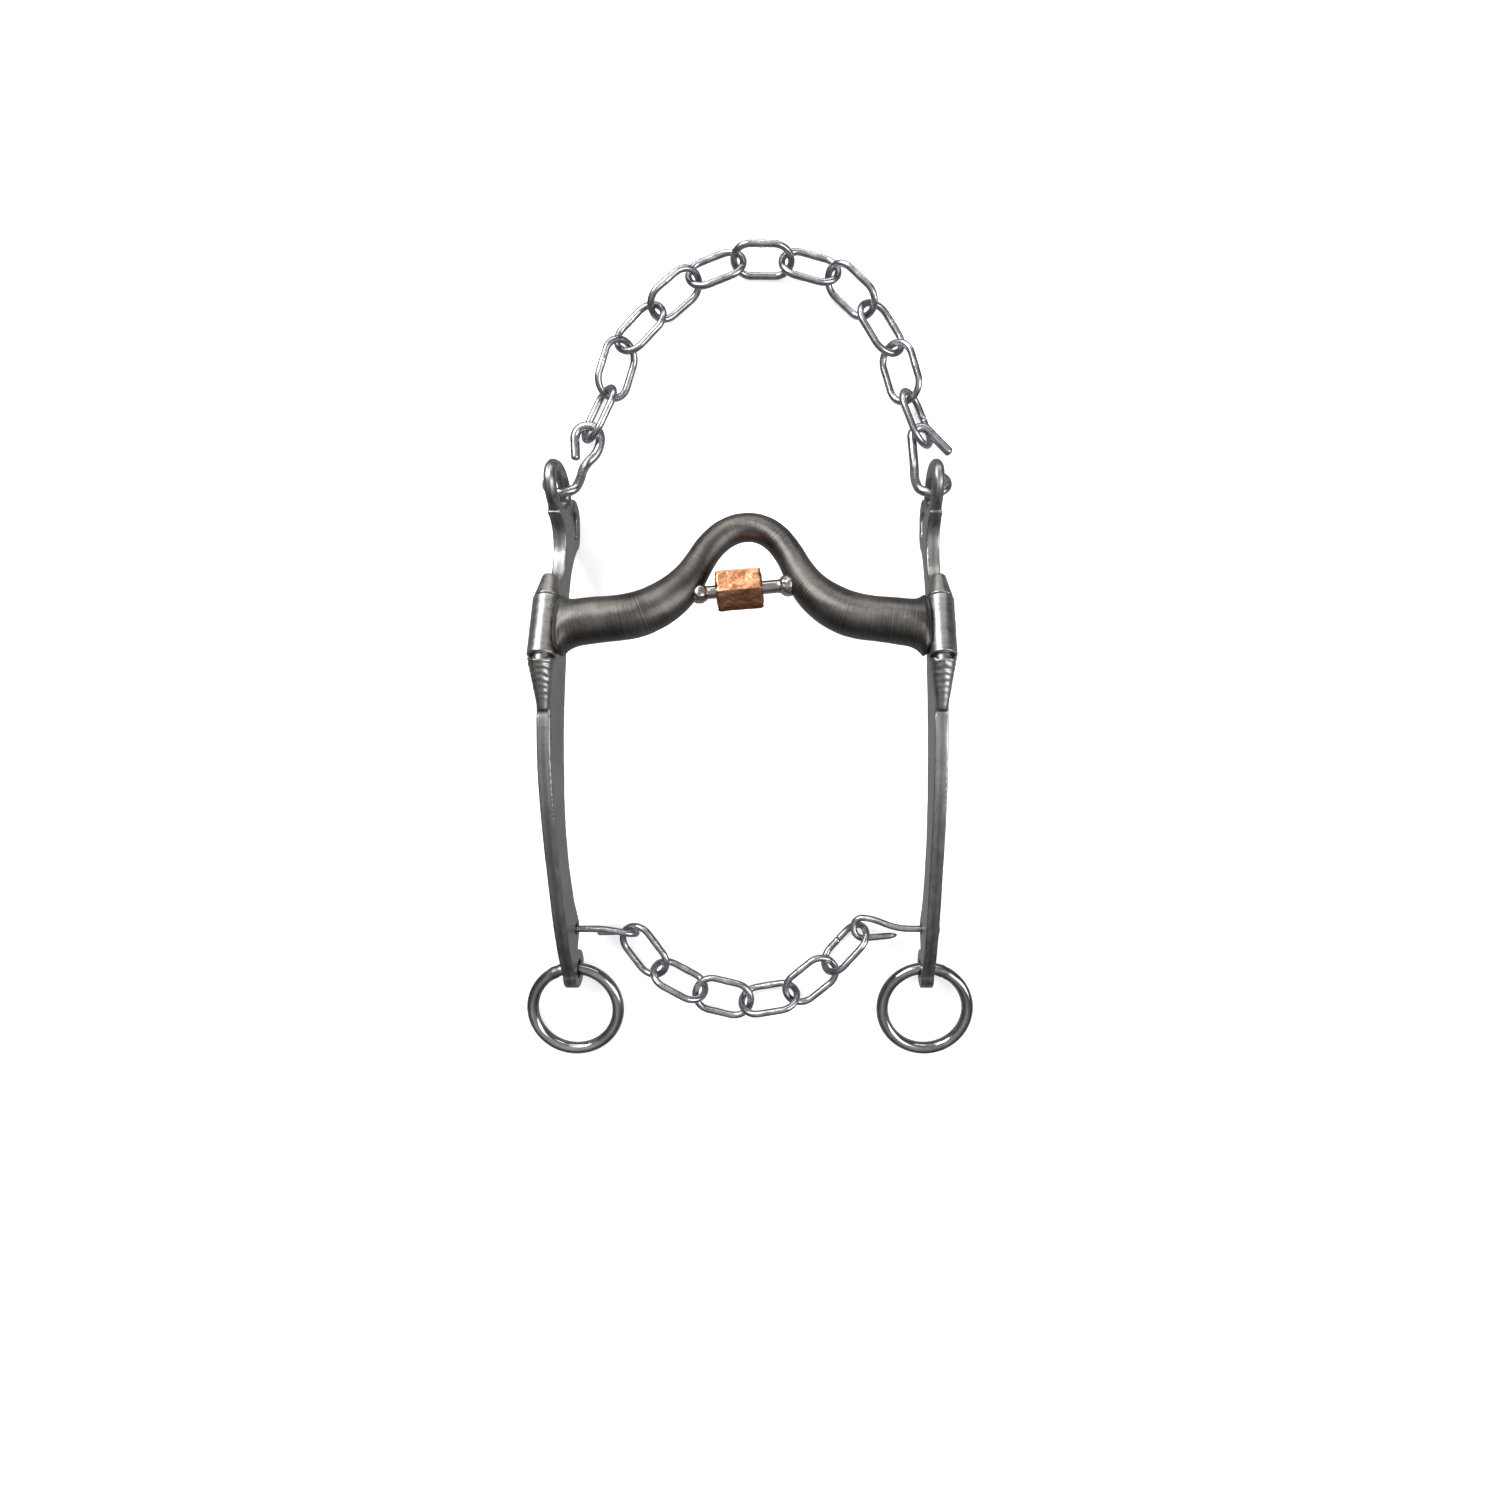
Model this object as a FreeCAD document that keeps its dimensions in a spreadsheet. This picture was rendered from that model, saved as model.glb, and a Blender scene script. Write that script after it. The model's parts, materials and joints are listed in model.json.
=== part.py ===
import FreeCAD, Part

import math
import os

import Sketcher
from FreeCAD import Placement, Rotation, Vector

# Loose-cheek curb bit, lying flat as it would on a bench: +X to the rider's right, +Y towards the
# headstall end, +Z up off the bench. The bench is Z = 0. Millimetres.

DIMENSIONS = [
    # mouthpiece and swivels
    ("cheek_spacing", 130.0, "between the two swivel pin axes"),
    ("mouth_radius", 7.5, "mouthpiece bar, half thickness at the sides"),
    ("port_radius", 4.95, "mouthpiece bar, half thickness over the port"),
    ("port_rise", 38.5, "port centreline above the sleeve middle"),
    ("port_half_width", 16.9, "port legs from the port's middle"),
    ("port_shift", 0.9, "X of the port's middle"),
    ("sleeve_forward", 8.7, "Y of the sleeve middle"),
    ("sleeve_height", 40.6, "Z of the sleeve middle"),
    ("pin_lean", 22.3, "degrees that the swivel pins lean from level"),
    ("sleeve_diameter", 9.6, "swivel sleeve outside"),
    ("sleeve_length", 21.0, "swivel sleeve along the pin"),
    ("pin_diameter", 6.0, "swivel pin"),
    ("pin_clearance", 0.1, "radial, pin in sleeve and axle in roller"),
    ("sleeve_end_gap", 0.3, "between a sleeve end and the shank's shoulders"),
    ("sleeve_back_gap", 0.9, "between the sleeve and the shank's front edge"),
    # shanks
    ("bar_thickness", 4.6, "shank plate"),
    ("shank_reach", 122.0, "sleeve middle to rein hole along Y"),
    ("boss_length", 8.4, "upper shoulder, tapering around the pin"),
    ("pin_seat", 2.4, "pin below the lower shoulder"),
    ("weld_length", 17.0, "lower weld taper under the sleeve"),
    ("eye_half_length", 8.2, "bridle eye opening, half its length"),
    ("eye_half_width", 5.1, "bridle eye opening, half its width"),
    ("eye_rim", 4.3, "metal round the bridle eye and the curb slot"),
    ("slot_width", 6.0, "curb slot"),
    ("slot_length", 10.0, "curb slot"),
    ("rein_hole", 6.8, "rein hole diameter"),
    ("rein_rim", 3.6, "metal round the rein hole"),
    ("tie_hole", 4.4, "tie hook hole diameter"),
    ("tie_rim", 2.2, "metal behind the tie hook hole"),
    # rings, hooks and chains
    ("ring_wire", 4.3, "rein ring wire"),
    ("ring_outside", 36.0, "rein ring outside diameter"),
    ("link_wire", 2.5, "chain wire"),
    ("link_length", 23.2, "chain link outside"),
    ("link_width", 15.0, "chain link outside"),
    ("chain_height", 6.8, "Z of both chains' middle line"),
    ("curb_pitch", 17.4, "spacing of the curb chain's links as it lies"),
    ("tie_pitch", 17.4, "spacing of the tie chain's links as it lies"),
    ("curb_wire", 3.3, "curb hook wire"),
    ("curb_loop", 11.4, "curb hook eye, centreline diameter"),
    ("tie_wire", 2.4, "tie hook wire"),
    ("tie_head", 5.6, "tie hook head diameter"),
    ("head_thickness", 1.5, "tie hook head"),
    ("head_gap", 0.6, "between a tie hook head and the shank"),
    # roller
    ("roller_corners", 15.4, "roller across its corners"),
    ("roller_length", 15.6, "roller along the axle"),
    ("axle_diameter", 4.4, "roller axle"),
    ("axle_length", 35.2, "roller axle before it is trimmed to the port's legs"),
    ("axle_slope", 6.0, "degrees that the axle was welded out of level"),
    ("axle_rise", 14.2, "roller centre above the sleeve middle, along the port"),
    ("weld_radius", 3.4, "blob of weld at each end of the axle"),
    ("roller_offset", -1.5, "X of the roller's middle"),
]

CURB_HEADINGS = [65, 73, 47, 41, 22, 0, -15, -43, -58, -73, -68]
CURB_ROLLS = [-54, 48, -28, 58, -28, 60, -28, 52, -34, 40, -57]
TIE_HEADINGS = [-55, -28, -12, 12, 44, 53]
TIE_ROLLS = [26, -60, 8, -56, 20, -60]
SIDES = {"left": -1, "right": 1}

doc = FreeCAD.newDocument("curb_bit")
sheet = doc.addObject("Spreadsheet::Sheet", "sizes")
for row, (alias, value, meaning) in enumerate(DIMENSIONS, start=1):
    sheet.set(f"A{row}", meaning)
    sheet.set(f"B{row}", str(value))
    sheet.setAlias(f"B{row}", alias)
doc.recompute()
size = {alias: float(sheet.get(alias)) for alias, _, _ in DIMENSIONS}

half_spacing = size["cheek_spacing"] / 2
half_bar = size["bar_thickness"] / 2
sleeve_middle = Vector(0, size["sleeve_forward"], size["sleeve_height"])
lean = Rotation(Vector(1, 0, 0), -size["pin_lean"])
along_pin = lean.multVec(Vector(0, 1, 0))
behind_pin = lean.multVec(Vector(0, 0, -1))
shoulder = size["sleeve_length"] / 2 + size["sleeve_end_gap"]


def bind(item, **expressions):
    """Tie an object's properties to spreadsheet expressions."""
    for name, expression in expressions.items():
        item.setExpression(name, expression)
    return item


def shape_feature(label, shape, place=Placement()):
    item = doc.addObject("Part::Feature", label)
    item.Shape = shape
    item.Placement = place
    return item


def cylinder(label, radius, height, place):
    item = doc.addObject("Part::Cylinder", label)
    bind(item, Radius=radius, Height=height)
    item.Placement = place
    return item


def fuse(label, *items):
    item = doc.addObject("Part::MultiFuse", label)
    item.Shapes = list(items)
    item.Refine = True
    return item


def cut(label, base, tool):
    item = doc.addObject("Part::Cut", label)
    item.Base = base
    item.Tool = tool
    item.Refine = True
    return item


def pin_point(along, behind=0.0, x=0.0):
    """A point given by its distance along the swivel pin's line and behind it."""
    return sleeve_middle + along_pin * along + behind_pin * behind + Vector(x, 0, 0)


def pin_place(along, x):
    """A placement on the swivel pin's line whose +Z runs up the pin."""
    return Placement(pin_point(along, 0, x), Rotation(Vector(0, 0, 1), along_pin))


def unit(vector):
    return Vector(vector).normalize()


# --- bent wire -------------------------------------------------------------------------------

# How much of a straight run an arc may take: nearly all of the first run, under half of a run
# that has an arc at each end.
OWN_RUN = 0.98
SHARED_RUN = 0.49


def rounded_path(points):
    """Straight runs through the points, each corner replaced by the largest arc that fits."""
    edges = []
    start = points[0]
    share = OWN_RUN
    for before, corner, after in zip(points, points[1:], points[2:]):
        back, ahead = unit(before - corner), unit(after - corner)
        turn = math.pi - back.getAngle(ahead)
        room = min(share * (corner - before).Length, SHARED_RUN * (after - corner).Length)
        share = SHARED_RUN
        radius = room / math.tan(turn / 2)
        middle_way = unit(back + ahead)
        middle = corner + middle_way * (radius / math.cos(turn / 2) - radius)
        first, last = corner + back * room, corner + ahead * room
        if (first - start).Length > 1e-4:
            edges.append(Part.LineSegment(start, first).toShape())
        edges.append(Part.Arc(first, middle, last).toShape())
        start = last
    edges.append(Part.LineSegment(start, points[-1]).toShape())
    return Part.Wire(edges)


def bent_wire(points, wire):
    path = rounded_path(points)
    direction = unit(points[1] - points[0])
    section = Part.Wire(Part.makeCircle(wire / 2, points[0], direction))
    return path.makePipeShell([section], True, False)


# --- shanks ----------------------------------------------------------------------------------

pin_foot = -shoulder - size["pin_seat"]
PIN_LENGTH = "sizes.sleeve_length + 2 * sizes.sleeve_end_gap + 2 * sizes.pin_seat"
EYE_TILT = 16.0
eye_middle = Vector(0, size["sleeve_forward"] + 49.2, 22.6)
slot_radius = size["slot_width"] / 2 + size["eye_rim"]
slot_middle = Vector(0, size["sleeve_forward"] + 40.0, slot_radius)
rein_lobe = size["rein_hole"] / 2 + size["rein_rim"]
rein_middle = Vector(0, size["sleeve_forward"] - size["shank_reach"], rein_lobe)
tie_lobe = size["tie_hole"] / 2 + size["tie_rim"]
tie_middle = rein_middle + Vector(0, 15.6, 3.8)


def at_eye(degrees, grow):
    """A point on the bridle eye's oval, grown by a margin, by its angle from the front end."""
    angle, tilt = math.radians(degrees), math.radians(EYE_TILT)
    u = (size["eye_half_length"] + grow) * math.cos(angle)
    v = (size["eye_half_width"] + grow) * math.sin(angle)
    return eye_middle + Vector(0, u * math.sin(tilt) + v * math.cos(tilt),
                               u * math.cos(tilt) - v * math.sin(tilt))


def eye_normal(degrees):
    angle, tilt = math.radians(degrees), math.radians(EYE_TILT)
    u = math.cos(angle) / (size["eye_half_length"] + size["eye_rim"] / 2)
    v = math.sin(angle) / (size["eye_half_width"] + size["eye_rim"] / 2)
    return unit(Vector(0, u * math.sin(tilt) + v * math.cos(tilt),
                       u * math.cos(tilt) - v * math.sin(tilt)))


def disc(middle, radius):
    return Part.Face(Part.Wire(Part.makeCircle(radius, middle, Vector(1, 0, 0))))


def oval(grow):
    """The bridle eye's oval as a face in the shank's plane."""
    edge = Part.Ellipse(Vector(), size["eye_half_length"] + grow, size["eye_half_width"] + grow)
    face = Part.Face(Part.Wire(edge.toShape()))
    long_way = Rotation(Vector(1, 0, 0), -EYE_TILT).multVec(Vector(0, 0, 1))
    face.Placement = Placement(eye_middle, Rotation(long_way, Vector(), Vector(1, 0, 0), "ZXY"))
    return face


def stadium(middle, width, length):
    """An upright slot with round ends, long side along Y, as a face in the shank's plane."""
    reach = Vector(0, (length - width) / 2, 0)
    across = Vector(0, 0, width / 2)
    end = Vector(0, width / 2, 0)
    low, high = middle - reach, middle + reach
    return Part.Face(Part.Wire([
        Part.LineSegment(low - across, high - across).toShape(),
        Part.Arc(high - across, high + end, high + across).toShape(),
        Part.LineSegment(high + across, low + across).toShape(),
        Part.Arc(low + across, low - end, low - across).toShape(),
    ]))


def from_rein(back, up):
    """A point of the blade, by its share of the shank's reach above the rein hole and its Z."""
    return Vector(0, rein_middle.y + back * size["shank_reach"], up)


def blade():
    """The shank's outline from the neck under the eye to the rein hole, as a face."""
    seat = size["sleeve_diameter"] / 2 + size["sleeve_back_gap"]
    neck_front = [Vector(0, eye_middle.y - 9.0, 28.2), Vector(0, eye_middle.y - 16.3, 21.2),
                  Vector(0, eye_middle.y - 24.0, 21.4),
                  pin_point(shoulder + size["boss_length"], 4.6)]
    front = [pin_point(-shoulder - size["weld_length"] + 2.0, 7.6), from_rein(0.60, 42.9),
             from_rein(0.445, 38.4), from_rein(0.27, 30.9), from_rein(0.09, 21.8),
             rein_middle + Vector(0, -rein_lobe + 1.2, 2.6)]
    rear = [from_rein(0.045, 8.4), from_rein(0.075, 8.6),
            tie_middle + Vector(0, -1.2, -tie_lobe), from_rein(0.19, 11.2),
            from_rein(0.27, 16.9), from_rein(0.43, 24.0), from_rein(0.58, 25.9),
            from_rein(0.74, 25.5), from_rein(0.93, 21.8),
            slot_middle + Vector(0, -19.5, 6.5), slot_middle + Vector(0, -8.6, -2.6)]
    corners = [pin_point(shoulder + size["boss_length"], 0), pin_point(shoulder, 0),
               pin_point(shoulder, seat), pin_point(-shoulder, seat), pin_point(-shoulder, 0)]

    def curve(points):
        spline = Part.BSplineCurve()
        spline.interpolate(points)
        return spline.toShape()

    def line(first, last):
        return Part.LineSegment(first, last).toShape()

    edges = [curve(neck_front), line(neck_front[-1], corners[0])]
    edges += [line(a, b) for a, b in zip(corners, corners[1:])]
    edges += [line(corners[-1], front[0]), curve(front), line(front[-1], rein_middle),
              line(rein_middle, rear[0]), curve(rear), line(rear[-1], slot_middle),
              line(slot_middle, eye_middle), line(eye_middle, neck_front[0])]
    return Part.Face(Part.Wire(edges))


def shank(side, sign):
    """One cheek: a plate with its eye, slot and holes, and the welded shoulders round the pin."""
    def plated(face, thickness):
        solid = face.extrude(Vector(thickness, 0, 0))
        solid.translate(Vector(-thickness / 2, 0, 0))
        return solid

    thickness = size["bar_thickness"]
    lobes = [oval(size["eye_rim"]),
             stadium(slot_middle, size["slot_width"] + 2 * size["eye_rim"],
                     size["slot_length"] + 2 * size["eye_rim"]),
             disc(rein_middle, rein_lobe), disc(tie_middle, tie_lobe)]
    plate = plated(blade(), thickness).multiFuse([plated(lobe, thickness) for lobe in lobes])
    plate = plate.removeSplitter()
    openings = [oval(0), stadium(slot_middle, size["slot_width"], size["slot_length"]),
                disc(rein_middle, size["rein_hole"] / 2), disc(tie_middle, size["tie_hole"] / 2)]
    plate = plate.cut(Part.makeCompound([plated(hole, 3 * thickness) for hole in openings]))
    x = sign * half_spacing
    body = shape_feature(f"plate_{side}", plate, Placement(Vector(x, 0, 0), Rotation()))
    boss = doc.addObject("Part::Cone", f"boss_{side}")
    bind(boss, Radius1="sizes.sleeve_diameter / 2 - 0.2", Radius2="sizes.bar_thickness / 2 + 0.2",
         Height="sizes.boss_length")
    boss.Placement = pin_place(shoulder, x)
    weld = doc.addObject("Part::Cone", f"weld_{side}")
    bind(weld, Radius1="sizes.sleeve_diameter / 2 - 0.2", Radius2="sizes.bar_thickness / 2 - 0.4",
         Height="sizes.weld_length")
    run = pin_point(-shoulder - size["weld_length"], 9.0) - pin_point(-shoulder, 0)
    weld.Placement = Placement(pin_point(-shoulder, 0, x), Rotation(Vector(0, 0, 1), run))
    whole = fuse(f"welded_shank_{side}", body, boss, weld)
    seat = cylinder(f"pin_seat_{side}", "sizes.pin_diameter / 2", PIN_LENGTH,
                    pin_place(pin_foot, x))
    clear = cylinder(f"sleeve_room_{side}", "sizes.sleeve_diameter / 2 + sizes.sleeve_back_gap",
                     "sizes.sleeve_length + 2 * sizes.sleeve_end_gap", pin_place(-shoulder, x))
    return cut(f"shank_{side}", whole, fuse(f"shank_room_{side}", seat, clear))


# --- mouthpiece ------------------------------------------------------------------------------


def mouth_point(x, up):
    """A point of the mouthpiece's own plane, which holds both swivel pins."""
    return pin_point(up, 0, x)


def mouth_stations():
    """Centreline and half thickness from the middle of the port out to one end."""
    rise, leg = size["port_rise"], size["port_half_width"]
    thick, thin = size["mouth_radius"], size["port_radius"]
    end = half_spacing - size["sleeve_diameter"] / 2
    return [(0.0, rise, thin), (0.41 * leg, rise - 2.1, thin), (0.76 * leg, rise - 8.2, thin),
            (leg, rise - 16.0, thin + 0.25), (leg + 4.4, rise - 23.5, 0.5 * (thick + thin)),
            (leg + 10.3, rise - 29.2, thick - 0.5), (leg + 18.3, rise - 33.5, thick),
            (0.71 * end + 1.8, 3.3, thick), (end - 3.8, 1.5, thick), (end + 0.8, 1.0, 5.6)]


def mouthpiece():
    """A bar bent up into a port, round in section, thinner over the port."""
    half = mouth_stations()
    stations = [(-x, up, r) for x, up, r in reversed(half[1:])] + half
    reach, shift = half[-1][0], size["port_shift"]
    stations = [(x + shift * (1 - abs(x) / reach), up, r) for x, up, r in stations]
    sections = []
    for number, (x, up, radius) in enumerate(stations):
        before = stations[max(number - 1, 0)]
        after = stations[min(number + 1, len(stations) - 1)]
        heading = mouth_point(*after[:2]) - mouth_point(*before[:2])
        if number in (0, len(stations) - 1):
            heading = Vector(1, 0, 0)
        ring = doc.addObject("Part::Circle", f"mouth_section_{number + 1:02d}")
        ring.Radius = radius
        turned = Rotation(behind_pin, Vector(), heading, "ZXY")
        ring.Placement = Placement(mouth_point(x, up), turned)
        sections.append(ring)
    bar = doc.addObject("Part::Loft", "mouth_loft")
    bar.Sections = sections
    bar.Solid = True
    bar.Ruled = False
    tubes = [cylinder(f"sleeve_seat_{side}", "sizes.sleeve_diameter / 2", "sizes.sleeve_length",
                      pin_place(-size["sleeve_length"] / 2, sign * half_spacing))
             for side, sign in SIDES.items()]
    return cut("mouthpiece_bar", bar, fuse("sleeve_seats", *tubes))


def sleeve(side, sign):
    place = pin_place(-size["sleeve_length"] / 2, sign * half_spacing)
    outside = cylinder(f"sleeve_outside_{side}", "sizes.sleeve_diameter / 2",
                       "sizes.sleeve_length", place)
    bore = cylinder(f"sleeve_bore_{side}", "sizes.pin_diameter / 2 + sizes.pin_clearance",
                    "sizes.sleeve_length", place)
    return cut(f"sleeve_{side}", outside, bore)


# --- roller ----------------------------------------------------------------------------------

roller_middle = mouth_point(size["roller_offset"], size["axle_rise"])
slope = math.radians(size["axle_slope"])
along_axle = Vector(math.cos(slope), 0, 0) + along_pin * math.sin(slope)


def along_axle_place(distance):
    return Placement(roller_middle + along_axle * distance,
                     Rotation(Vector(0, 0, 1), along_axle))


def axle(bar):
    """A short rod across the port with a blob of weld at each end, trimmed to the bar."""
    ends = []
    start = -size["axle_length"] / 2 - size["roller_offset"]
    rod = cylinder("axle_rod", "sizes.axle_diameter / 2", "sizes.axle_length",
                   along_axle_place(start))
    for number, distance in enumerate((start + 2.6, start + size["axle_length"] - 2.6)):
        blob = doc.addObject("Part::Sphere", f"axle_weld_{number + 1}")
        bind(blob, Radius="sizes.weld_radius")
        blob.Placement = along_axle_place(distance)
        ends.append(blob)
    return cut("roller_axle", fuse("axle_blank", rod, *ends), bar)


def roller():
    """A six-sided copper barrel, bored to turn on the axle."""
    place = along_axle_place(-size["roller_length"] / 2)
    prism = doc.addObject("Part::Prism", "roller_blank")
    prism.Polygon = 6
    bind(prism, Circumradius="sizes.roller_corners / 2", Height="sizes.roller_length")
    prism.Placement = place * Placement(Vector(), Rotation(Vector(0, 0, 1), 12))
    bore = cylinder("roller_bore", "sizes.axle_diameter / 2 + sizes.pin_clearance",
                    "sizes.roller_length", place)
    return cut("copper_roller", prism, bore)


# --- rings and chains ------------------------------------------------------------------------


def rein_ring(side, sign):
    """A closed ring hung in the rein hole, its far side resting on the bench."""
    wire = size["ring_wire"]
    mean = (size["ring_outside"] - wire) / 2
    hung = rein_middle + Vector(sign * half_spacing, 0, -0.4)
    droop = math.asin((hung.z - wire / 2) / (2 * mean))
    middle = hung + Vector(0, -mean * math.cos(droop), -mean * math.sin(droop))
    ring = doc.addObject("Part::Torus", f"rein_ring_{side}")
    bind(ring, Radius1="(sizes.ring_outside - sizes.ring_wire) / 2", Radius2="sizes.ring_wire / 2")
    ring.Placement = Placement(middle, Rotation(Vector(1, 0, 0), math.degrees(droop)))
    return ring


def lay_chain(headings, pitch, start, end):
    """The link joints of a chain from start to end: the headings are opened out or closed up, and
    turned together, until the last link reaches the end."""

    def run(spread, turn):
        points = [start]
        for heading in headings:
            angle = math.radians(heading * spread + turn)
            points.append(points[-1] + Vector(math.cos(angle), math.sin(angle), 0) * pitch)
        return points

    spread, turn = 1.0, 0.0
    for _ in range(40):
        miss = run(spread, turn)[-1] - end
        by_spread = (run(spread + 1e-5, turn)[-1] - end - miss) * 1e5
        by_turn = (run(spread, turn + 1e-5)[-1] - end - miss) * 1e5
        scale = by_spread.x * by_turn.y - by_turn.x * by_spread.y
        spread -= (miss.x * by_turn.y - miss.y * by_turn.x) / scale
        turn -= (by_spread.x * miss.y - by_spread.y * miss.x) / scale
    return run(spread, turn)


def link(label, first, last, roll):
    """One oval link between two joints of its chain, rolled about its own long axis."""
    heading = unit(last - first)
    body = doc.addObject("PartDesign::Body", label)
    plane = {item.Role: item for item in body.Origin.OriginFeatures}
    spine = body.newObject("Sketcher::SketchObject", f"{label}_path")
    spine.AttachmentSupport = (plane["XY_Plane"], [""])
    spine.MapMode = "FlatFace"
    bend = (size["link_width"] - size["link_wire"]) / 2
    half = (size["link_length"] - size["link_width"]) / 2
    spine.addGeometry(Part.LineSegment(Vector(-half, -bend, 0), Vector(half, -bend, 0)))
    arc = Part.Circle(Vector(half, 0, 0), Vector(0, 0, 1), bend)
    spine.addGeometry(Part.ArcOfCircle(arc, -math.pi / 2, math.pi / 2))
    spine.addGeometry(Part.LineSegment(Vector(half, bend, 0), Vector(-half, bend, 0)))
    arc = Part.Circle(Vector(-half, 0, 0), Vector(0, 0, 1), bend)
    spine.addGeometry(Part.ArcOfCircle(arc, math.pi / 2, 3 * math.pi / 2))
    for edge, (this_end, next_end) in enumerate([(2, 1), (2, 1), (2, 1), (2, 1)]):
        spine.addConstraint(Sketcher.Constraint("Tangent", edge, this_end, (edge + 1) % 4, next_end))
    spine.addConstraint(Sketcher.Constraint("Horizontal", 0))
    spine.addConstraint(Sketcher.Constraint("Symmetric", 0, 1, 2, 1, -1, 1))
    bend_rule = spine.addConstraint(Sketcher.Constraint("Radius", 1, bend))
    side_rule = spine.addConstraint(Sketcher.Constraint("Distance", 0, 2 * half))
    spine.setExpression(f"Constraints[{bend_rule}]", "(sizes.link_width - sizes.link_wire) / 2")
    spine.setExpression(f"Constraints[{side_rule}]", "sizes.link_length - sizes.link_width")
    section = body.newObject("Sketcher::SketchObject", f"{label}_section")
    section.AttachmentSupport = (plane["YZ_Plane"], [""])
    section.MapMode = "FlatFace"
    section.addGeometry(Part.Circle(Vector(-bend, 0, 0), Vector(0, 0, 1), size["link_wire"] / 2))
    section.addConstraint(Sketcher.Constraint("PointOnObject", 0, 3, -1))
    place_rule = section.addConstraint(Sketcher.Constraint("DistanceX", 0, 3, -1, 1, bend))
    wire_rule = section.addConstraint(Sketcher.Constraint("Diameter", 0, size["link_wire"]))
    section.setExpression(f"Constraints[{place_rule}]", "(sizes.link_width - sizes.link_wire) / 2")
    section.setExpression(f"Constraints[{wire_rule}]", "sizes.link_wire")
    pipe = body.newObject("PartDesign::AdditivePipe", f"{label}_wire")
    pipe.Profile = section
    pipe.Spine = (spine, [])
    body.Tip = pipe
    turn = Rotation(Vector(0, 0, 1), math.degrees(math.atan2(heading.y, heading.x)))
    body.Placement = Placement((first + last) / 2, turn * Rotation(Vector(1, 0, 0), roll))
    return body


def chain(name, headings, rolls, pitch, start, end):
    joints = lay_chain(headings, pitch, start, end)
    return [link(f"{name}_{number:02d}", first, last, roll)
            for number, (first, last, roll) in enumerate(zip(joints, joints[1:], rolls), start=1)]


# --- hooks -----------------------------------------------------------------------------------

HOOK_ANGLE = 125
hook_middle = at_eye(HOOK_ANGLE, size["eye_rim"] / 2)
hook_out = eye_normal(HOOK_ANGLE)
chain_z = size["chain_height"]


def curb_hook(side, sign, shape):
    """A wire hook: a closed eye round the bridle eye's rim, a neck, and an open J for the chain."""
    inward = Vector(-sign, 0, 0)
    middle = hook_middle + Vector(sign * half_spacing, 0, 0)
    step = 40
    reach = size["curb_loop"] / 2 / math.cos(math.radians(step / 2))
    points = []
    for turn in range(120, 361, step):
        angle = math.radians(turn)
        points.append(middle + inward * reach * math.cos(angle) + hook_out * reach * math.sin(angle))
    points[-1] = middle + inward * (size["curb_loop"] / 2) + hook_out * 2.0
    points += [Vector(sign * (half_spacing - across), up, z) for across, up, z in shape]
    return shape_feature(f"curb_hook_{side}", bent_wire(points, size["curb_wire"]))


def tie_hook(side, sign, shape):
    """A wire hook whose stem passes through the shank and ends in a round head outside it."""
    outside = half_spacing + half_bar + size["head_gap"]
    stem = tie_middle + Vector(sign * (outside + 0.2), 0, 0)
    points = [stem]
    points += [Vector(sign * (half_spacing - across), up, z) for across, up, z in shape]
    rod = shape_feature(f"tie_rod_{side}", bent_wire(points, size["tie_wire"]))
    head = doc.addObject("Part::Cylinder", f"tie_head_{side}")
    bind(head, Radius="sizes.tie_head / 2", Height="sizes.head_thickness")
    head.Placement = Placement(tie_middle + Vector(sign * outside, 0, 0),
                               Rotation(Vector(0, 0, 1), Vector(sign, 0, 0)))
    return fuse(f"tie_hook_{side}", rod, head)


# How far in from the pin's plane, how far along Y and how high each bend of a hook is.
hook_y, tie_y, tie_z = hook_middle.y, tie_middle.y, tie_middle.z
CURB_BENDS = {
    "left": [(5.7, hook_y + 7.4, chain_z + 2.4), (11.4, hook_y + 14.0, chain_z),
             (11.4, hook_y + 22.6, chain_z), (2.0, hook_y + 22.6, chain_z),
             (2.4, hook_y + 10.3, chain_z)],
    "right": [(5.3, hook_y + 8.0, chain_z + 2.4), (6.9, hook_y + 27.9, chain_z),
              (-8.0, hook_y + 12.4, chain_z + 1.0)],
}
TIE_BENDS = {
    "left": [(13.0, tie_y, tie_z), (23.1, tie_y - 2.4, tie_z - 0.2),
             (23.1, tie_y - 3.0, tie_z - 8.8), (8.0, tie_y - 3.0, tie_z - 7.6)],
    "right": [(11.0, tie_y, tie_z), (20.0, tie_y + 3.2, tie_z - 2.6),
              (26.6, tie_y + 3.4, tie_z - 4.0), (26.6, tie_y - 4.8, tie_z - 4.0),
              (10.7, tie_y - 3.2, tie_z - 4.0)],
}
curb_start = Vector(-half_spacing + 7.2, hook_y + 19.1, chain_z)
curb_end = Vector(half_spacing - 1.1, hook_y + 17.3, chain_z)
tie_start = Vector(-half_spacing + 21.0, tie_y - 2.0, chain_z)
tie_end = Vector(half_spacing - 23.9, tie_y - 1.7, chain_z)

# --- assembly --------------------------------------------------------------------------------

bar = mouthpiece()
nodes = [bar, axle(bar), roller()]
for side, sign in SIDES.items():
    nodes.append(sleeve(side, sign))
    nodes.append(shank(side, sign))
    nodes.append(cylinder(f"swivel_pin_{side}", "sizes.pin_diameter / 2", PIN_LENGTH,
                          pin_place(pin_foot, sign * half_spacing)))
    nodes.append(rein_ring(side, sign))
    nodes.append(curb_hook(side, sign, CURB_BENDS[side]))
    nodes.append(tie_hook(side, sign, TIE_BENDS[side]))
nodes += chain("curb_link", CURB_HEADINGS, CURB_ROLLS, size["curb_pitch"], curb_start, curb_end)
nodes += chain("tie_link", TIE_HEADINGS, TIE_ROLLS, size["tie_pitch"], tie_start, tie_end)

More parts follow.
